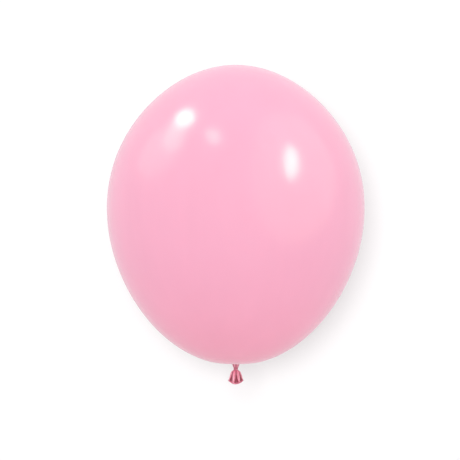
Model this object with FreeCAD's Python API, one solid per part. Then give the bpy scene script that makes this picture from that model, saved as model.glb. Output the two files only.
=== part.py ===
"""A round latex party balloon, inflated and tied, upright, with the knot and the tail at the bottom.

Real latex balloons are dipped as one film. It is modelled here as the stretches that behave differently:
the inflated envelope, the pleated throat under it, the film bunched inside the knot, the loop of the knot
with the strand that crosses it, the pleated tail below the knot, the plain cuff at the tail's mouth, and the
bead rolled round the cuff.

Frame: +Z up along the balloon's axis. The origin is the middle of the knot, where a ribbon is tied.
Millimetres. The knot leans about X and about Y at the origin, and the tail twists about Z below it.
"""

import FreeCAD, Part
import math
import os

# Driving dimensions
INFLATED_DIAMETER = 304.8  # a 12 inch balloon, blown up to its nominal size
LENGTH_TO_DIAMETER = 1.165  # crown to throat, over the widest diameter
ROUNDNESS = (0.052, -0.056, -0.043)  # how the egg differs from an ellipsoid, by powers of cos(latitude angle)
THROAT_HEIGHT = 4.2  # from the middle of the knot up to the bottom of the envelope
THROAT_RADIUS = 4.45  # of the round opening at the bottom of the envelope
TAIL_LENGTH = 18.0  # from the middle of the knot down to the lowest point of the rolled bead
PLEATS = 8  # folds round the throat and the tail
KNOT_RADIUS = 2.8
KNOT_HALF_HEIGHT = 1.2
CORE_RADIUS = 1.5  # of the film bunched inside the knot
STRAND_RADIUS = 0.55  # of the strand that crosses the front of the knot
STRAND_SLANT = 35  # degrees from upright
BEAD_RING_RADIUS = 8.0  # to the middle of the bead
BEAD_RADIUS = 1.0
BEAD_SAG = 1.7  # how far the limp bead hangs down in front and behind, and rises at the sides
CUFF_ABOVE_BEAD = 0.8  # the straight stretch of the cuff over the bead's highest point

# Films. The stretched film is really about 0.01 mm thick, which no mesh can hold.
ENVELOPE_FILM = 0.3
NECK_FILM = 0.45
RUNNING_GAP = 0.3  # between pieces that lean or twist past each other

# Worked out from the dimensions above
ENVELOPE_LENGTH = INFLATED_DIAMETER * LENGTH_TO_DIAMETER
ENVELOPE_MIDDLE = THROAT_HEIGHT + ENVELOPE_LENGTH / 2
SEAT_RADIUS = KNOT_RADIUS + RUNNING_GAP
BEAD_HEIGHT = BEAD_RADIUS - TAIL_LENGTH + BEAD_SAG
MOUTH_RADIUS = BEAD_RING_RADIUS - BEAD_RADIUS
CUFF_RADIUS = MOUTH_RADIUS + NECK_FILM  # outside the plain, round cuff that carries the bead
CUFF_TOP = BEAD_HEIGHT + BEAD_SAG + BEAD_RADIUS + CUFF_ABOVE_BEAD

UP = FreeCAD.Vector(0, 0, 1)
ORIGIN = FreeCAD.Vector(0, 0, 0)


def point(radius, height):
    """A point of a profile, which lies in the XZ plane."""
    return FreeCAD.Vector(radius, 0, height)


def egg_shape(angle):
    """The factor that turns an ellipsoid's radius into the balloon's, at an angle from the crown."""
    c = math.cos(angle)
    return 1 + sum(k * c ** (power + 1) for power, k in enumerate(ROUNDNESS))


def widest_shape():
    steps = 400
    return max(math.sin(math.pi * i / steps) * egg_shape(math.pi * i / steps) for i in range(steps))


WIDEST = widest_shape()


def egg_point(angle, inset):
    """A point of the envelope's outline at an angle from the crown, moved inwards by inset."""
    def outline(a):
        radius = INFLATED_DIAMETER / 2 / WIDEST * math.sin(a) * egg_shape(a)
        return radius, ENVELOPE_MIDDLE + ENVELOPE_LENGTH / 2 * math.cos(a)

    step = 1e-4
    (r0, z0), (r1, z1) = outline(angle - step), outline(angle + step)
    length = math.hypot(r1 - r0, z1 - z0)
    radius, height = outline(angle)
    return point(radius + inset * (z1 - z0) / length, height - inset * (r1 - r0) / length)


def throat_angle(inset):
    """The angle from the crown at which the outline, moved inwards, has closed in to the throat's radius."""
    low, high = math.pi / 2, math.pi
    for _ in range(60):
        middle = (low + high) / 2
        if egg_point(middle, inset).x > THROAT_RADIUS:
            low = middle
        else:
            high = middle
    return low


def egg_curve(inset):
    """The outline from the crown to the throat, moved inwards by inset."""
    spans = 36
    last_angle = throat_angle(inset)
    points = [egg_point(last_angle * i / spans, inset) for i in range(spans + 1)]
    points[0].x = 0
    curve = Part.BSplineCurve()
    curve.interpolate(Points=points)
    return curve.toShape()


def turned(edges):
    """The solid that a closed profile sweeps round the balloon's axis."""
    return Part.makeSolid(Part.Face(Part.Wire(edges)).revolve(ORIGIN, UP, 360))


def pleated_ring(height, radius, depth):
    """A closed curve round the axis, with a fold in and out for each pleat."""
    points_per_pleat = 8
    count = PLEATS * points_per_pleat
    points = []
    for i in range(count):
        angle = 2 * math.pi * i / count
        r = radius - depth * (1 + math.cos(PLEATS * angle)) / 2
        points.append(FreeCAD.Vector(r * math.cos(angle), r * math.sin(angle), height))
    curve = Part.BSplineCurve()
    curve.interpolate(Points=points, PeriodicFlag=True)
    return Part.Wire(curve.toShape())


def pleated_solid(stations):
    """A solid through pleated rings. Each station is (height, radius, depth of the pleats)."""
    rings = [pleated_ring(height, radius, depth) for height, radius, depth in stations]
    return Part.makeLoft(rings, True, False)


def ball(radius):
    return Part.makeSphere(radius, ORIGIN, UP, -90, 90, 360)


def rod(radius, bottom, top):
    """An upright cylinder on the balloon's axis."""
    return Part.makeCylinder(radius, top - bottom, FreeCAD.Vector(0, 0, bottom), UP)


# The envelope: one egg-shaped film, open at the throat
def make_envelope():
    outer = egg_curve(0)
    inner = egg_curve(ENVELOPE_FILM)
    rim = Part.makeLine(outer.lastVertex().Point, inner.lastVertex().Point)
    axis = Part.makeLine(inner.firstVertex().Point, outer.firstVertex().Point)
    return turned([outer, rim, inner, axis])


# The throat: film that lines the envelope's opening, runs down in pleats and is pressed shut at the knot
def make_neck_frill():
    bottom = egg_point(throat_angle(0), 0).z
    top = egg_point(throat_angle(ENVELOPE_FILM), ENVELOPE_FILM).z
    outside = [
        (top, THROAT_RADIUS, 0.0),
        (bottom, THROAT_RADIUS, 0.0),
        (3.4, 3.95, 0.3),
        (2.6, 3.55, 0.45),
        (2.0, 3.3, 0.4),
        (1.5, 3.1, 0.3),
    ]
    inside = [
        (top + NECK_FILM, THROAT_RADIUS - NECK_FILM, 0.0),
        (bottom, THROAT_RADIUS - NECK_FILM, 0.0),
        (3.9, 3.9, 0.1),
        (SEAT_RADIUS + NECK_FILM, 3.6, 0.25),
    ]
    return pleated_solid(outside).cut(pleated_solid(inside)).cut(ball(SEAT_RADIUS))


# The film bunched tight inside the knot. It is round, so that the knot can lean about it.
def make_neck_core():
    return ball(CORE_RADIUS)


def knot_barrel():
    """The outline of the whole knot: a flat-ended roll of film with bulging sides."""
    end_radius = 2.4
    side = Part.Arc(
        point(end_radius, KNOT_HALF_HEIGHT), point(KNOT_RADIUS, 0), point(end_radius, -KNOT_HALF_HEIGHT)
    ).toShape()
    top = Part.makeLine(point(0, KNOT_HALF_HEIGHT), point(end_radius, KNOT_HALF_HEIGHT))
    bottom = Part.makeLine(point(end_radius, -KNOT_HALF_HEIGHT), point(0, -KNOT_HALF_HEIGHT))
    axis = Part.makeLine(point(0, -KNOT_HALF_HEIGHT), point(0, KNOT_HALF_HEIGHT))
    return turned([top, side, bottom, axis])


def crossing_strand():
    """A long rod along the slanting strand, which lies half sunk in the front of the knot."""
    sideways, forward = 0.5, 2.5
    strand = rod(STRAND_RADIUS, -KNOT_RADIUS, KNOT_RADIUS)
    strand.rotate(ORIGIN, FreeCAD.Vector(0, 1, 0), STRAND_SLANT)
    strand.translate(FreeCAD.Vector(sideways, -forward, 0))
    return strand


# The loop of the knot, drawn tight round the core
def make_knot_loop():
    return knot_barrel().cut(ball(CORE_RADIUS + RUNNING_GAP / 2)).cut(crossing_strand())


# The strand that crosses the front of the loop and holds it shut
def make_knot_crossing():
    return crossing_strand().common(knot_barrel())


def bead_height(x):
    """The height of the bead's middle line at a distance from the balloon's front-to-back plane."""
    return BEAD_HEIGHT + BEAD_SAG * (2 * (x / BEAD_RING_RADIUS) ** 2 - 1)


def beside_bead_line(height):
    """A block from the bead's middle line up or down to a height."""
    half = 1.5 * BEAD_RING_RADIUS
    left, middle, right = (point(x, bead_height(x)) for x in (-half, 0, half))
    line = Part.Arc(left, middle, right).toShape()
    right_side = Part.makeLine(right, point(half, height))
    base = Part.makeLine(point(half, height), point(-half, height))
    left_side = Part.makeLine(point(-half, height), left)
    outline = Part.Wire([line, right_side, base, left_side])
    block = Part.Face(outline).extrude(FreeCAD.Vector(0, 2 * half, 0))
    block.translate(FreeCAD.Vector(0, -half, 0))
    return block


# The tail: a short pleated bell between the knot and the cuff
def make_tail_skirt():
    top = -KNOT_HALF_HEIGHT - RUNNING_GAP
    outside = [
        (top, 2.4, 0.3),
        (-2.7, 4.3, 0.6),
        (-4.5, 5.8, 1.0),
        (-7.1, 7.05, 1.1),
        (-9.8, 7.6, 0.8),
        (CUFF_TOP, CUFF_RADIUS, 0.0),
    ]
    inside = [
        (top - 2 * NECK_FILM, 3.3, 0.3),
        (-4.5, 5.25, 0.9),
        (-7.1, 6.55, 1.05),
        (-9.8, 7.15, 0.75),
        (CUFF_TOP, MOUTH_RADIUS, 0.0),
        (CUFF_TOP - NECK_FILM, MOUTH_RADIUS, 0.0),
    ]
    return pleated_solid(outside).cut(pleated_solid(inside))


# The cuff: the plain, round end of the film, down to the bead's middle line
def make_tail_cuff():
    tube = rod(CUFF_RADIUS, -TAIL_LENGTH, CUFF_TOP).cut(rod(MOUTH_RADIUS, -TAIL_LENGTH, CUFF_TOP))
    return tube.cut(beside_bead_line(-2 * TAIL_LENGTH))


# The bead: the edge of the film rolled up on itself, outside the cuff and under its edge
def make_rolled_bead():
    sections = 24
    rings = []
    for i in range(sections):
        angle = 2 * math.pi * i / sections
        outwards = FreeCAD.Vector(math.cos(angle), math.sin(angle), 0)
        middle = outwards * BEAD_RING_RADIUS
        middle.z = bead_height(middle.x)
        rings.append(Part.Wire(Part.makeCircle(BEAD_RADIUS, middle, UP.cross(outwards))))
    closed_ring = Part.makeLoft(rings, True, False, True)
    cuff = rod(CUFF_RADIUS, -TAIL_LENGTH, CUFF_TOP).common(beside_bead_line(0))
    return closed_ring.cut(cuff)


NODES = {
    "envelope": make_envelope,
    "neck_frill": make_neck_frill,
    "neck_core": make_neck_core,
    "knot_loop": make_knot_loop,
    "knot_crossing": make_knot_crossing,
    "tail_skirt": make_tail_skirt,
    "tail_cuff": make_tail_cuff,
    "rolled_bead": make_rolled_bead,
}

os.makedirs("parts", exist_ok=True)
for name, make in NODES.items():
    shape = make()
    print(name, shape.isValid(), len(shape.Solids), round(shape.Volume, 2), shape.BoundBox)
    shape.exportStep("parts/" + name + ".step")
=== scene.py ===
"""A pale pink latex balloon, tied off, in front of a white paper backdrop.

Everything is in metres, in the part's own frame: +Z up, the front faces -Y, and the origin is the middle of
the knot. A tint runs from 0, stretched pale film, to 1, the dark deep in a fold. Slack film is deeper in
colour,
but much of the tint is painted light: painted shade in the folds, creases and pockets and low on the envelope
and the tail, a painted shadow just above the bead, and a painted highlight on the throat's curled ridges.
"""

import math

import bpy
import numpy as np
from mathutils import Matrix, Vector


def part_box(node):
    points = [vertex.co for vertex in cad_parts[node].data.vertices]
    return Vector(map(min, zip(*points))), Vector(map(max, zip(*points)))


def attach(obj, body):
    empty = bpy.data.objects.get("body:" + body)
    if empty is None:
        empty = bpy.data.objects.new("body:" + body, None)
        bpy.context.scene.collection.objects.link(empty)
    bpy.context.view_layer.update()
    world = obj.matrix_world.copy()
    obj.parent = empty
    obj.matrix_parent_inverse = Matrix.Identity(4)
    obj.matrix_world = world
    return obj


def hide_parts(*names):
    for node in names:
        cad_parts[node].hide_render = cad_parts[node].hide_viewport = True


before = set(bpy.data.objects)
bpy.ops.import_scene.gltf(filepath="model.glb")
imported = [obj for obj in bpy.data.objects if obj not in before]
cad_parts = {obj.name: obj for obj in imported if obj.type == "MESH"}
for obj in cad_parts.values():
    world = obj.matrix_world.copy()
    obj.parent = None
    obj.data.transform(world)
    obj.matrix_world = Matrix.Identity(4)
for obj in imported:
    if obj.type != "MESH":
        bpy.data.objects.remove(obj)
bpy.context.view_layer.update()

MM = 0.001
FRONT = -math.pi / 2  # the azimuth of the front, from +X towards +Y

# The envelope, from its CAD box and the same egg formula as the CAD
ENVELOPE_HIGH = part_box("envelope")[1]
BODY_RADIUS = ENVELOPE_HIGH.x
POLE_HEIGHT = 4.2 * MM  # where the egg would close, if it had no throat
BODY_LENGTH = ENVELOPE_HIGH.z - POLE_HEIGHT
BODY_MIDDLE = POLE_HEIGHT + BODY_LENGTH / 2
ROUNDNESS = (0.052, -0.056, -0.043)
THROAT_RADIUS = 4.45 * MM
ENVELOPE_FILM = 0.3 * MM
MOUTH_RISE = 1.6 * MM  # how far the egg's end is flattened at the throat
MOUTH_RISE_REACH = 20 * MM
PUCKER_DEPTH = 0.15 * MM  # of the folds that run from the throat into the envelope
PUCKER_REACH = 3.5 * MM
CROWN_REACH = 0.11  # radians from the crown, of its slightly slacker film

# The throat, the knot and the tail
# The valleys between the pleats: (degrees round from the front, towards +X; how deep, from 0 to 1)
VALLEYS = [(-47, 1.0), (6, 1.0), (56, 1.0), (99, 0.9), (142, 1.0), (185, 0.85), (227, 0.95), (269, 0.8)]
NECK_FILM = 0.3 * MM
KNOT_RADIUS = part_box("knot_loop")[1].x
KNOT_HALF_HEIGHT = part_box("knot_loop")[1].z
KNOT_WRAPS = 2.5
KNOT_FOLD_DEPTH = 0.055  # between two wraps, as a share of the knot's radius
KNOT_CLEARANCE = 0.15 * MM  # between the throat and the knot as it turns inside
CORE_RADIUS = 2.5 * MM  # of the film bunched inside the knot
STRAND_RADIUS = 0.55 * MM
STRAND_SINK = 0.42 * MM  # of its middle line below the knot's surface
STRAND_HALF_TURN = math.radians(50)
STRAND_RISE = 0.8  # from the knot's middle to the strand's end, as a share of the knot's half height
FRILL_BOTTOM = 1.45 * MM
FRILL_TOP_RADIUS = THROAT_RADIUS + 0.3 * MM
FRILL_BOTTOM_RADIUS = 3.1 * MM
FRILL_CURL = 0.5 * MM  # outwards, of the ridges at the top
FRILL_VALLEY = (0.25 * MM, 0.65 * MM)  # how deep the valleys are all over, and how much more in the middle
TAIL_TOP = -0.85 * MM  # inside the knot
TAIL_END_SINK = 0.1 * MM  # of the tail's edge below the middle of the bead

# The rolled bead, from its CAD box
BEAD_LOW, BEAD_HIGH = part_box("rolled_bead")
BEAD_RADIUS = 1.0 * MM
BEAD_RING_RADIUS = BEAD_HIGH.x - BEAD_RADIUS
BEAD_SAG = (BEAD_HIGH.z - BEAD_LOW.z) / 2 - BEAD_RADIUS
BEAD_HEIGHT = (BEAD_HIGH.z + BEAD_LOW.z) / 2
BEAD_OUT = 0.2 * MM  # of the ring outside the CAD's
ROLL_RADIUS = 0.97 * BEAD_RADIUS

PLEATED_COLUMNS = 192  # of points round the envelope, the tail and the bead

# Colours, linear. The tint runs from pale to deep pink over the envelope, and from ridge to fold pink over
# the neck and the tail. The deep pink is partly painted shade, and the dark fold pink is the painted shade in
# the folds and pockets.
PALE_PINK = (0.995, 0.43, 0.59)
DEEP_PINK = (0.99, 0.265, 0.325)
RIDGE_PINK = (0.93, 0.36, 0.47)
# the dark end of the neck's tint: the painted shade in its folds and pockets
SHADED_FOLD_PINK = (0.24, 0.015, 0.05)

# Tints. Slack, thick film is deeper in colour, and much of the tint is painted light as well: painted shade
# in the puckers, valleys, folds and pockets, where the strand sinks into the knot, low on the tail and, in
# part, low on the envelope; a painted shadow just above the bead; and a painted highlight on the frill's
# curled ridges.
LOW_SLACK_AND_SHADE_TINT = 0.26  # of the envelope round the throat, fading out just below the equator: slacker film, and partly painted shade on the underside
CROWN_TINT = 0.08
PUCKER_SHADE_TINT = 0.12
FRILL_TINT = (0.12, 0.20)  # at the top and at the bottom
FRILL_VALLEY_SHADE_TINT = 0.75
FRILL_CURL_HIGHLIGHT_TINT = -0.2
KNOT_TINT = 0.36
KNOT_FOLD_SHADE_TINT = 0.73
STRAND_END_SHADE_TINT = 0.66
CORE_TINT = 0.5
TAIL_LOWER_SHADE_TINT = 0.22
TAIL_END_SHADOW_TINT = 0.35
TAIL_VALLEY_SHADE_TINT = (0.95, 1.1)  # at the top and at the bottom
BEAD_TINT = 0.55
BEAD_STEP_TINT = 0.22
BEAD_VALLEY_SHADE_TINT = 0.11


# ---------------------------------------------------------------- mesh helpers


def smoothstep(low, high, value):
    t = min(max((value - low) / (high - low), 0.0), 1.0)
    return t * t * (3 - 2 * t)


def mix(a, b, share):
    return a + (b - a) * share


def polar(radius, azimuth, height):
    return Vector((radius * math.cos(azimuth), radius * math.sin(azimuth), height))


def mesh_object(name, points, faces, tint=None):
    """A smooth mesh. tint is how deep the latex's colour is at each point, from 0 to 1, painted shade and
    highlight included.
    """
    mesh = bpy.data.meshes.new(name)
    mesh.from_pydata([tuple(p) for p in points], [], faces)
    mesh.validate()
    mesh.update()
    if tint is not None:
        attribute = mesh.attributes.new("tint", "FLOAT", "POINT")
        attribute.data.foreach_set("value", np.array(tint, np.float32))
    mesh.shade_smooth()
    obj = bpy.data.objects.new(name, mesh)
    bpy.context.scene.collection.objects.link(obj)
    return obj


def ring_faces(rows, columns, closed_rows=False):
    """Quads between neighbouring rings of points."""
    faces = []
    for i in range(rows if closed_rows else rows - 1):
        for j in range(columns):
            k = (j + 1) % columns
            here, there = i * columns, (i + 1) % rows * columns
            faces.append((here + j, here + k, there + k, there + j))
    return faces


def sample(rows, columns, surface):
    """The points and the tints of surface(row share, azimuth), row by row from the top."""
    points, tint = [], []
    for i in range(rows):
        for j in range(columns):
            point, depth = surface(i / (rows - 1), 2 * math.pi * j / columns)
            points.append(point)
            tint.append(depth)
    return points, tint


def film(name, rows, columns, surface, thickness, pole=False):
    """A film of a thickness round the axis. surface(row share, azimuth) gives (outer point, tint).

    With pole, the film closes at its top in one point.
    """
    points, tint = sample(rows, columns, surface)
    faces = ring_faces(rows, columns)
    if pole:
        points = [points[0]] + points[columns:]
        tint = [tint[0]] + tint[columns:]
        faces = [tuple(max(v - columns + 1, 0) for v in face) for face in faces[columns:]]
        faces += [(0, 1 + (j + 1) % columns, 1 + j) for j in range(columns)]
    obj = mesh_object(name, points, faces, tint)
    flip_to_outside(obj)
    thicken = obj.modifiers.new("film", "SOLIDIFY")
    thicken.thickness = thickness
    thicken.offset = -1
    apply_modifiers(obj)
    return obj


def solid(name, rows, columns, surface):
    """A closed solid round the axis, whose first and last rows are points on it."""
    points, tint = sample(rows, columns, surface)
    obj = mesh_object(name, points, ring_faces(rows, columns), tint)
    merge = obj.modifiers.new("weld", "WELD")
    merge.merge_threshold = 0.001 * MM
    apply_modifiers(obj)
    flip_to_outside(obj)
    return obj


def flip_to_outside(obj):
    """Turns the faces so that their normals point away from the axis."""
    mesh = obj.data
    outward = sum((p.normal.x * p.center.x + p.normal.y * p.center.y) * p.area for p in mesh.polygons)
    if outward < 0:
        mesh.flip_normals()


def apply_modifiers(obj):
    depsgraph = bpy.context.evaluated_depsgraph_get()
    mesh = bpy.data.meshes.new_from_object(obj.evaluated_get(depsgraph))
    obj.modifiers.clear()
    obj.data = mesh


# ---------------------------------------------------------------- the envelope


def egg_shape(angle):
    c = math.cos(angle)
    return 1 + sum(k * c ** (power + 1) for power, k in enumerate(ROUNDNESS))


EGG_STEPS = 400
EGG_ANGLES = [math.pi * i / EGG_STEPS for i in range(EGG_STEPS)]
WIDEST = max(math.sin(angle) * egg_shape(angle) for angle in EGG_ANGLES)


def egg_point(angle):
    """(radius, height) of the envelope's outline at an angle from the crown."""
    radius = BODY_RADIUS / WIDEST * math.sin(angle) * egg_shape(angle)
    return radius, BODY_MIDDLE + BODY_LENGTH / 2 * math.cos(angle)


def angle_at_radius(radius):
    """The angle below the equator at which the outline has narrowed to this radius, by halving."""
    low, high = math.pi / 2, math.pi
    for _ in range(60):
        middle = (low + high) / 2
        low, high = (middle, high) if egg_point(middle)[0] > radius else (low, middle)
    return low


THROAT_ANGLE = angle_at_radius(THROAT_RADIUS)


def pleat(azimuth, width=0.0):
    """0 on the ridge of a pleat and 1 at the bottom of a full valley. A width of 1 makes the valleys wide."""
    first, first_depth = VALLEYS[0]
    turn = (math.degrees(azimuth - FRONT) - first) % 360 + first
    valleys = VALLEYS + [(first + 360, first_depth)]
    for (start, deep_start), (end, deep_end) in zip(valleys, valleys[1:]):
        if turn <= end:
            break
    t = (turn - start) / (end - start)
    rounding = 0.002  # of the valley's bottom
    rise = math.sqrt(math.sin(math.pi * t) ** 2 + rounding)
    return max(1 - rise ** mix(0.6, 1.5, width), 0) * mix(deep_start, deep_end, t)


def mouth_rise(radius):
    """How far the film is drawn up near the throat, where the egg's end is a little flattened."""
    return MOUTH_RISE * math.exp(-((radius / MOUTH_RISE_REACH) ** 2))


def envelope_surface(share, azimuth):
    """The envelope's film, from the crown down to the throat."""
    # rows crowd together near the throat, where the puckers are
    angle = THROAT_ANGLE * (1 - (1 - share) ** 1.6)
    radius, height = egg_point(angle)
    pucker = 0.0
    if angle > math.pi / 2:
        pucker = math.exp(-max(radius - THROAT_RADIUS, 0) / PUCKER_REACH)
        height += mouth_rise(radius) - PUCKER_DEPTH * pucker * (1 - pleat(azimuth))
    crown = math.exp(-((angle / CROWN_REACH) ** 2))
    # the lower half deepens towards the throat: partly slacker film, partly painted shade on the underside
    low = smoothstep(0.55, 1.0, angle / THROAT_ANGLE)
    # painted shade in the valleys of the puckers round the throat
    tint = LOW_SLACK_AND_SHADE_TINT * low + CROWN_TINT * crown + PUCKER_SHADE_TINT * pucker * pleat(azimuth)
    return polar(radius, azimuth, height), tint


def make_envelope(latex):
    obj = film("envelope_film", 150, PLEATED_COLUMNS, envelope_surface, ENVELOPE_FILM, pole=True)
    obj.data.materials.append(latex)
    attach(obj, "envelope")
    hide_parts("envelope")


# ---------------------------------------------------------------- the throat and the knot


def frill_surface(share, azimuth):
    """The throat's film, from the envelope's opening down to the knot."""
    top = egg_point(THROAT_ANGLE)[1] + mouth_rise(THROAT_RADIUS) + ENVELOPE_FILM
    height = mix(top, FRILL_BOTTOM, share)
    radius = mix(FRILL_TOP_RADIUS, FRILL_BOTTOM_RADIUS, share ** 0.85)
    valley = pleat(azimuth, 0.2)
    # the ridges turn outwards at the top, where the stretched film pulls them; there they get a painted
    # highlight
    curl = math.exp(-share / 0.12) * (1 - valley)
    all_over, more_in_the_middle = FRILL_VALLEY
    radius += FRILL_CURL * curl
    radius -= valley * (all_over + more_in_the_middle * math.sin(math.pi * 0.7 * share))
    # the film stays outside the ball in which the knot turns
    keep_out = KNOT_RADIUS + KNOT_CLEARANCE
    radius = max(radius, math.sqrt(max(keep_out ** 2 - height ** 2, 0)) + NECK_FILM)
    # painted shade darkens the valleys
    tint = mix(*FRILL_TINT, share) + FRILL_VALLEY_SHADE_TINT * valley + FRILL_CURL_HIGHLIGHT_TINT * curl
    return polar(radius, azimuth, height), min(max(tint, 0), 1)


def make_frill(latex):
    obj = film("pleated_throat", 40, 160, frill_surface, NECK_FILM)
    obj.data.materials.append(latex)
    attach(obj, "envelope")
    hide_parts("neck_frill")
    return obj


def knot_surface(share, azimuth):
    """A barrel whose section is a superellipse, drawn into slanting wraps."""
    width_power, height_power = 0.45, 0.8
    around = math.pi * share
    # 1 in the narrow fold between two wraps
    fold = (0.5 + 0.5 * math.cos(2 * math.pi * KNOT_WRAPS * share + azimuth)) ** 3
    radius = KNOT_RADIUS * math.sin(around) ** width_power * (1 - KNOT_FOLD_DEPTH * fold)
    height = KNOT_HALF_HEIGHT * math.copysign(abs(math.cos(around)) ** height_power, math.cos(around))
    # painted shade darkens the folds between the wraps
    return polar(radius, azimuth, height), mix(KNOT_TINT, KNOT_FOLD_SHADE_TINT, fold)


def make_knot_loop(latex):
    """A tight roll of film."""
    obj = solid("knot_roll", 40, 96, knot_surface)
    obj.data.materials.append(latex)
    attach(obj, "knot")
    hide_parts("knot_loop")
    return obj


def core_surface(share, azimuth):
    around = math.pi * share
    return polar(CORE_RADIUS * math.sin(around), azimuth, CORE_RADIUS * math.cos(around)), CORE_TINT


def make_neck_core(latex):
    """The bunched film that fills the knot and shows in the gap above it, whichever way the neck leans."""
    obj = solid("bunched_film", 24, 48, core_surface)
    obj.data.materials.append(latex)
    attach(obj, "neck")
    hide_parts("neck_core")
    return obj


def make_knot_crossing(latex):
    """The strand that crosses the knot's front from low on the left to high on the right."""
    steps, sides, flatness = 32, 20, 0.8
    points, tint = [], []
    for i in range(steps + 1):
        share = 2 * i / steps - 1
        azimuth = FRONT + STRAND_HALF_TURN * share
        height = STRAND_RISE * KNOT_HALF_HEIGHT * math.sin(share * math.pi / 2)
        out = polar(1, azimuth, 0)
        middle = polar(KNOT_RADIUS - STRAND_SINK, azimuth, height)
        forward = polar(STRAND_HALF_TURN * KNOT_RADIUS, azimuth + math.pi / 2, KNOT_HALF_HEIGHT)
        side = forward.normalized().cross(out)
        # it narrows to a blunt point at both ends
        thickness = STRAND_RADIUS * math.sqrt(max(1 - abs(share) ** 3, 0.0004))
        for j in range(sides):
            turn = 2 * math.pi * j / sides
            # five faint ridges run along it
            ripple = 1 + 0.06 * math.cos(5 * turn)
            offset = (out * math.cos(turn) * flatness + side * math.sin(turn)) * thickness * ripple
            points.append(middle + offset)
            # painted shade towards the ends, where the strand sinks into the knot
            tint.append(mix(KNOT_TINT, STRAND_END_SHADE_TINT, abs(share)))
    faces = ring_faces(steps + 1, sides)
    faces.append(tuple(range(sides)))
    faces.append(tuple(steps * sides + j for j in reversed(range(sides))))
    obj = mesh_object("knot_strand", points, faces, tint)
    obj.data.materials.append(latex)
    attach(obj, "knot")
    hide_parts("knot_crossing")
    return obj


# ---------------------------------------------------------------- the tail


def bead_height(azimuth):
    """The bead's ring sags in front and behind, and rises at the sides."""
    return BEAD_HEIGHT + BEAD_SAG * math.cos(2 * azimuth)


# The tail's outline over the ridges, and how deep its valleys go: (share of the way down to the bead, mm)
TAIL_OUTLINE = [(0, 2.3), (0.045, 2.55), (0.09, 3.9), (0.18, 5.2), (0.28, 6.0), (0.46, 7.0), (0.64, 7.75),
                (0.83, 8.5), (0.92, 8.9), (1, 8.3)]
TAIL_DEPTH = [(0, 0.3), (0.11, 0.7), (0.3, 1.25), (0.5, 1.6), (0.75, 2.2), (0.9, 2.7), (0.95, 2.4), (1, 0.3)]


def along(stations, share):
    """The value at a share of the way along the stations: a smooth curve that doesn't overshoot them."""
    shares, values = zip(*stations)
    slopes = [(values[i + 1] - values[i]) / (shares[i + 1] - shares[i]) for i in range(len(shares) - 1)]
    bends = [slopes[0]] + [0 if p * q <= 0 else 2 * p * q / (p + q) for p, q in zip(slopes, slopes[1:])]
    bends.append(slopes[-1])
    i = min(sum(share > x for x in shares[1:]), len(slopes) - 1)
    span = shares[i + 1] - shares[i]
    t = (share - shares[i]) / span
    rise = values[i + 1] - values[i]
    c0, c1 = bends[i] * span, bends[i + 1] * span
    return values[i] + t * (c0 + t * (3 * rise - 2 * c0 - c1 + t * (c0 + c1 - 2 * rise)))


def tail_surface(share, azimuth):
    """The tail's film, from inside the knot down to the inside of the bead."""
    height = mix(TAIL_TOP, bead_height(azimuth) - TAIL_END_SINK, share)
    valley = pleat(azimuth, 1.25 * smoothstep(0.1, 0.9, share))
    radius = MM * (along(TAIL_OUTLINE, share) - valley * along(TAIL_DEPTH, share))
    # painted shade: the tail darkens lower down, as if lit from above, and its valleys open there into
    # pockets painted dark
    pocket = smoothstep(0.5, 0.85, share)
    # a painted shadow darkens the whole tail just above the bead
    tint = TAIL_LOWER_SHADE_TINT * smoothstep(0.1, 0.5, share) + TAIL_END_SHADOW_TINT * smoothstep(0.72, 0.97, share)
    # painted shade in the valleys, darkest in the pockets
    tint += mix(*TAIL_VALLEY_SHADE_TINT, pocket) * smoothstep(0, mix(0.95, 0.5, pocket), valley)
    return polar(radius, azimuth, height), min(tint, 1)


def make_tail(latex):
    obj = film("pleated_tail", 90, PLEATED_COLUMNS, tail_surface, NECK_FILM)
    obj.data.materials.append(latex)
    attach(obj, "tail")
    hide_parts("tail_skirt", "tail_cuff")
    return obj


def make_bead(latex):
    """The film's edge rolled up on itself: a ring whose section is one turn of a spiral."""
    steps, sides = PLEATED_COLUMNS, 28
    step_turn = 2.2  # where round the section the roll's outer end shows, as a small step
    step_height = 0.10
    points, tint = [], []
    for i in range(steps):
        azimuth = 2 * math.pi * i / steps
        valley = pleat(azimuth, 1)
        # the roll is a little uneven, and tighter in the valleys
        uneven = 1.03 + 0.03 * math.sin(3 * azimuth + 0.5) + 0.02 * math.sin(7 * azimuth) - 0.06 * valley
        for j in range(sides):
            turn = 2 * math.pi * j / sides + step_turn
            section = ROLL_RADIUS * uneven * (1 - step_height * j / sides)
            radius = BEAD_RING_RADIUS + BEAD_OUT + section * math.cos(turn)
            points.append(polar(radius, azimuth, bead_height(azimuth) + section * math.sin(turn)))
            at_the_step = j == sides - 1
            # painted shade where the tail's valleys meet the bead
            tint.append(BEAD_TINT + BEAD_STEP_TINT * at_the_step + BEAD_VALLEY_SHADE_TINT * valley)
    faces = ring_faces(steps, sides, closed_rows=True)
    obj = mesh_object("rolled_lip", points, faces, tint)
    obj.data.materials.append(latex)
    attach(obj, "tail")
    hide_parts("rolled_bead")
    return obj


# ---------------------------------------------------------------- materials


class Nodes:
    """A small helper that adds and links shader nodes."""

    def __init__(self, tree):
        self.tree = tree
        tree.nodes.clear()

    def add(self, kind, inputs=None, **settings):
        """A node with these settings, and with these values on its unlinked inputs."""
        node = self.tree.nodes.new(kind)
        for name, value in settings.items():
            setattr(node, name, value)
        for name, value in (inputs or {}).items():
            node.inputs[name].default_value = value
        return node

    def link(self, start, end):
        self.tree.links.new(start, end)


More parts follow.
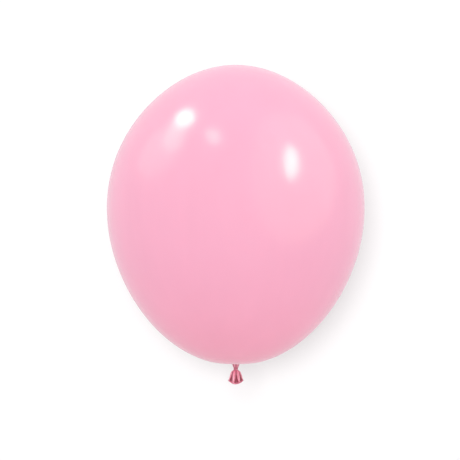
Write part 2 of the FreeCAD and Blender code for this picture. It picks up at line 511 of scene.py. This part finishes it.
def latex_material(name, pale, deep, roughness, grain):
    """Latex film, tinted from pale to deep by how slack it is and by painted shade and highlight, with faint
    mottling and dipping streaks.

    grain is how many bumps of its fine grain there are to the metre.
    """
    material = bpy.data.materials.new(name)
    material.use_nodes = True
    n = Nodes(material.node_tree)
    output = n.add("ShaderNodeOutputMaterial")
    shader = n.add("ShaderNodeBsdfPrincipled", {
        "Roughness": roughness,
        "IOR": 1.5,
        "Subsurface Weight": 0.12,
        "Subsurface Radius": (1.0, 0.45, 0.5),
        "Subsurface Scale": 2 * MM,
    })
    n.link(shader.outputs["BSDF"], output.inputs["Surface"])

    place = n.add("ShaderNodeTexCoord")
    tint = n.add("ShaderNodeAttribute", attribute_name="tint")
    colour = n.add("ShaderNodeMix", {"A": (*pale, 1), "B": (*deep, 1)}, data_type="RGBA")
    n.link(tint.outputs["Fac"], colour.inputs["Factor"])

    # streaks along the axis and clouds all over, which together make the colour lighter and darker
    stretch = n.add("ShaderNodeMapping", {"Scale": (1.0, 1.0, 0.12)})
    n.link(place.outputs["Object"], stretch.inputs["Vector"])
    streaks = n.add("ShaderNodeTexNoise", {"Scale": 32.0, "Detail": 3.0})
    n.link(stretch.outputs["Vector"], streaks.inputs["Vector"])
    clouds = n.add("ShaderNodeTexNoise", {"Scale": 11.0, "Detail": 2.0})
    n.link(place.outputs["Object"], clouds.inputs["Vector"])
    blend = n.add("ShaderNodeMath", operation="ADD")
    n.link(streaks.outputs["Fac"], blend.inputs[0])
    n.link(clouds.outputs["Fac"], blend.inputs[1])
    amount = n.add("ShaderNodeMapRange", {"From Min": 0.7, "From Max": 1.3, "To Min": 0.985, "To Max": 1.015})
    n.link(blend.outputs["Value"], amount.inputs["Value"])
    shade = n.add("ShaderNodeVectorMath", operation="SCALE")
    n.link(colour.outputs["Result"], shade.inputs["Vector"])
    n.link(amount.outputs["Result"], shade.inputs["Scale"])
    n.link(shade.outputs["Vector"], shader.inputs["Base Color"])

    fine = n.add("ShaderNodeTexNoise", {"Scale": grain, "Detail": 4.0})
    n.link(place.outputs["Object"], fine.inputs["Vector"])
    bump = n.add("ShaderNodeBump", {"Strength": 0.25, "Distance": 0.02 * MM})
    n.link(fine.outputs["Fac"], bump.inputs["Height"])
    n.link(bump.outputs["Normal"], shader.inputs["Normal"])
    return material


# ---------------------------------------------------------------- stage, light and camera

CAMERA = Vector((-6.8 * MM, -4.0, 164.1 * MM))
VIEW_WIDTH = 0.5437  # across the picture, at the balloon
WALL_Y = 0.165
WALL_TOP = 0.64
FLOOR_Z = -0.26
FLOOR_FRONT = -6.0
COVE_RADIUS = 0.12
STAGE_HALF_WIDTH = 3.0
PAPER_GLOW = 0.532  # the paper is lit from behind too
SUN_STRENGTH = 4.85
SUN_WIDTH = math.radians(15.5)
SHADOW_SHIFT = Vector((12.2 * MM, WALL_Y, -12.0 * MM))  # from the balloon to its shadow on the wall
NECK_LIGHT = Vector((-0.30, -0.75, 0.42))
NECK_LIGHT_WIDTH = 0.25
NECK_LIGHT_POWER = 4.0
WARM_WHITE = (1.0, 1.0, 0.70)  # of the softboxes: their colour turns the pink film's highlights white
# name, x, z, half width and half height of the highlight in mm, tilt in degrees, distance in m, radiance
SOFTBOXES = [
    ("key_softbox", -58.4, 292.8, 11.2, 9.6, 25, 0.60, 14.5),
    ("key_skirt", -71.0, 271.5, 19.0, 11.0, 60, 0.80, 3.0),
    ("key_fade", -87.0, 255.3, 36.0, 20.0, 54, 0.90, 1.2),
    ("fill_softbox", -26.0, 271.3, 10.0, 7.3, -45, 0.90, 6.3),
    ("strip_softbox", 63.4, 241.2, 8.1, 19.2, 2, 1.00, 13.2),
    ("window_glow", 69.5, 227.0, 47.0, 79.0, 8, 1.10, 1.0),
]
# the studio's brightness by direction, from straight below (0) to straight above (1)
SKY = [(0.15, (0.74, 0.67, 0.68)), (0.5, (0.83, 0.83, 0.83)), (0.80, (0.91, 0.91, 0.91))]
SKY_BEHIND, SKY_IN_FRONT = 1.14, 1.39
FAR_WALLS = (0.80, 0.80, 0.80)


def backdrop_material():
    """A white paper sweep that shows its front only, so that it doesn't hide the balloon from behind."""
    material = bpy.data.materials.new("paper_sweep")
    material.use_nodes = True
    n = Nodes(material.node_tree)
    output = n.add("ShaderNodeOutputMaterial")
    paper = n.add("ShaderNodeBsdfPrincipled", {
        "Base Color": (0.2, 0.2, 0.2, 1),
        "Roughness": 1.0,
        "Specular IOR Level": 0.0,
        "Emission Color": (1.0, 1.0, 1.0, 1),
        "Emission Strength": PAPER_GLOW,
    })
    clear = n.add("ShaderNodeBsdfTransparent")
    side = n.add("ShaderNodeNewGeometry")
    pick = n.add("ShaderNodeMixShader")
    n.link(side.outputs["Backfacing"], pick.inputs["Fac"])
    n.link(paper.outputs["BSDF"], pick.inputs[1])
    n.link(clear.outputs["BSDF"], pick.inputs[2])
    n.link(pick.outputs["Shader"], output.inputs["Surface"])
    return material


def make_backdrop():
    """A floor that sweeps up into a wall close behind the balloon."""
    profile = [(FLOOR_FRONT, FLOOR_Z)]
    cove_steps = 16
    for i in range(cove_steps + 1):
        turn = math.pi / 2 * i / cove_steps
        y = WALL_Y - COVE_RADIUS * (1 - math.sin(turn))
        profile.append((y, FLOOR_Z + COVE_RADIUS * (1 - math.cos(turn))))
    profile.append((WALL_Y, WALL_TOP))
    points = [(x, y, z) for y, z in profile for x in (-STAGE_HALF_WIDTH, STAGE_HALF_WIDTH)]
    faces = [(2 * i, 2 * i + 1, 2 * i + 3, 2 * i + 2) for i in range(len(profile) - 1)]
    obj = mesh_object("paper_sweep", points, faces)
    obj.data.materials.append(backdrop_material())
    obj.visible_glossy = False
    obj.visible_diffuse = False
    return obj


def body_mirror(x, z):
    """(point, direction): the envelope's front at x and z, and which way it mirrors the camera's view."""
    angle = math.acos((z - BODY_MIDDLE) / (BODY_LENGTH / 2))
    radius, _ = egg_point(angle)
    step = 1e-4  # radians
    (r0, z0), (r1, z1) = egg_point(angle - step), egg_point(angle + step)
    out = Vector((x, -math.sqrt(radius * radius - x * x), 0)) / radius
    point = out * radius + Vector((0, 0, z))
    normal = (out * (z0 - z1) + Vector((0, 0, r1 - r0))).normalized()
    to_camera = (CAMERA - point).normalized()
    return point, normal * (2 * normal.dot(to_camera)) - to_camera


def make_softbox(name, x, z, wide, high, tilt, distance, radiance):
    """An elliptical lamp that the envelope's front mirrors at x and z, as an ellipse of these half axes.

    Only reflections show it: it lights no surface, and the camera doesn't see it.
    """
    point, facing = body_mirror(x, z)
    centre = point + facing * distance

    def hit(along_axis, across_axis):
        c, s = math.cos(tilt), math.sin(tilt)
        start, way = body_mirror(x + along_axis * c - across_axis * s, z + along_axis * s + across_axis * c)
        return start + way * ((centre - start).dot(facing) / way.dot(facing))

    across = facing.orthogonal().normalized()
    up = facing.cross(across)
    axes = [(hit(wide, 0) - hit(-wide, 0)) / 2, (hit(0, high) - hit(0, -high)) / 2]
    shape = np.array([[a.dot(across) for a in axes], [a.dot(up) for a in axes]])
    turn, sizes, _ = np.linalg.svd(shape)
    lamp_x = across * turn[0, 0] + up * turn[1, 0]

    lamp = bpy.data.lights.new(name, "AREA")
    lamp.shape = "ELLIPSE"
    lamp.size, lamp.size_y = 2 * sizes[0], 2 * sizes[1]
    # an area lamp's power, for a radiance: pi * area * radiance
    lamp.energy = radiance * math.pi * math.pi * sizes[0] * sizes[1]
    lamp.color = WARM_WHITE
    obj = bpy.data.objects.new(name, lamp)
    bpy.context.scene.collection.objects.link(obj)
    basis = Matrix((lamp_x, facing.cross(lamp_x), facing)).transposed().to_4x4()
    obj.matrix_world = Matrix.Translation(centre) @ basis
    obj.visible_camera = False
    obj.visible_diffuse = False


def light_only(lamp, pieces):
    """Makes a lamp light only these pieces."""
    lit = bpy.data.collections.new("lit_by_" + lamp.name)
    for piece in pieces:
        lit.objects.link(piece)
    lamp.light_linking.receiver_collection = lit


def aimed_lamp(name, kind, direction):
    """A lamp at the origin that shines in a direction."""
    lamp = bpy.data.lights.new(name, kind)
    obj = bpy.data.objects.new(name, lamp)
    bpy.context.scene.collection.objects.link(obj)
    obj.rotation_mode = "QUATERNION"
    obj.rotation_quaternion = direction.to_track_quat("-Z", "Y")
    return obj


def make_lights(backdrop, neck_pieces):
    for name, x, z, wide, high, tilt, distance, radiance in SOFTBOXES:
        make_softbox(name, x * MM, z * MM, wide * MM, high * MM, math.radians(tilt), distance, radiance)

    sun = aimed_lamp("backdrop_light", "SUN", SHADOW_SHIFT)
    sun.data.energy = SUN_STRENGTH
    sun.data.angle = SUN_WIDTH
    light_only(sun, [backdrop])

    disk = aimed_lamp("neck_light", "AREA", -NECK_LIGHT)
    disk.location = NECK_LIGHT
    disk.data.shape = "DISK"
    disk.data.size = NECK_LIGHT_WIDTH
    disk.data.energy = NECK_LIGHT_POWER
    disk.visible_camera = False
    light_only(disk, neck_pieces)


def make_world():
    """White studio light: brightest from above and in front, and dimmer from the floor and the back."""
    world = bpy.data.worlds.new("studio")
    bpy.context.scene.world = world
    world.use_nodes = True
    n = Nodes(world.node_tree)
    output = n.add("ShaderNodeOutputWorld")
    background = n.add("ShaderNodeBackground")
    place = n.add("ShaderNodeTexCoord")
    split = n.add("ShaderNodeSeparateXYZ")
    n.link(place.outputs["Generated"], split.inputs["Vector"])
    rise = n.add("ShaderNodeMapRange", {"From Min": -1.0})
    n.link(split.outputs["Z"], rise.inputs["Value"])
    ramp = n.add("ShaderNodeValToRGB")
    n.link(rise.outputs["Result"], ramp.inputs["Fac"])
    (low, low_colour), (middle, middle_colour), (high, high_colour) = SKY
    steps = ramp.color_ramp.elements
    steps[0].position, steps[0].color = low, (*low_colour, 1)
    steps[1].position, steps[1].color = high, (*high_colour, 1)
    steps.new(middle).color = (*middle_colour, 1)
    n.link(ramp.outputs["Color"], background.inputs["Color"])
    front = n.add("ShaderNodeMapRange", {
        "From Min": 1.0,
        "From Max": -1.0,
        "To Min": SKY_BEHIND,
        "To Max": SKY_IN_FRONT,
    })
    n.link(split.outputs["Y"], front.inputs["Value"])
    n.link(front.outputs["Result"], background.inputs["Strength"])
    # the far walls are pale grey to look at, so that the white rim of the film stands out from them
    walls = n.add("ShaderNodeBackground", {"Color": (*FAR_WALLS, 1)})
    rays = n.add("ShaderNodeLightPath")
    pick = n.add("ShaderNodeMixShader")
    n.link(rays.outputs["Is Camera Ray"], pick.inputs["Fac"])
    n.link(background.outputs["Background"], pick.inputs[1])
    n.link(walls.outputs["Background"], pick.inputs[2])
    n.link(pick.outputs["Shader"], output.inputs["Surface"])


def make_camera():
    """Level with the balloon's middle, far back, like a long lens."""
    data = bpy.data.cameras.new("camera")
    data.lens = data.sensor_width * -CAMERA.y / VIEW_WIDTH
    data.clip_end = 50
    obj = bpy.data.objects.new("camera", data)
    bpy.context.scene.collection.objects.link(obj)
    obj.location = CAMERA
    obj.rotation_euler = (math.pi / 2, 0, 0)
    bpy.context.scene.camera = obj


# ---------------------------------------------------------------- the scene

stretched = latex_material("latex_stretched", PALE_PINK, DEEP_PINK, roughness=0.21, grain=900.0)
relaxed = latex_material("latex_relaxed", RIDGE_PINK, SHADED_FOLD_PINK, roughness=0.30, grain=2500.0)

make_envelope(stretched)
makers = [make_frill, make_neck_core, make_knot_loop, make_knot_crossing, make_tail, make_bead]
neck_pieces = [make(relaxed) for make in makers]
for piece in neck_pieces:
    piece.visible_glossy = False  # so that the body doesn't mirror it

make_lights(make_backdrop(), neck_pieces)
make_world()
make_camera()
bpy.context.scene.view_settings.view_transform = "Standard"
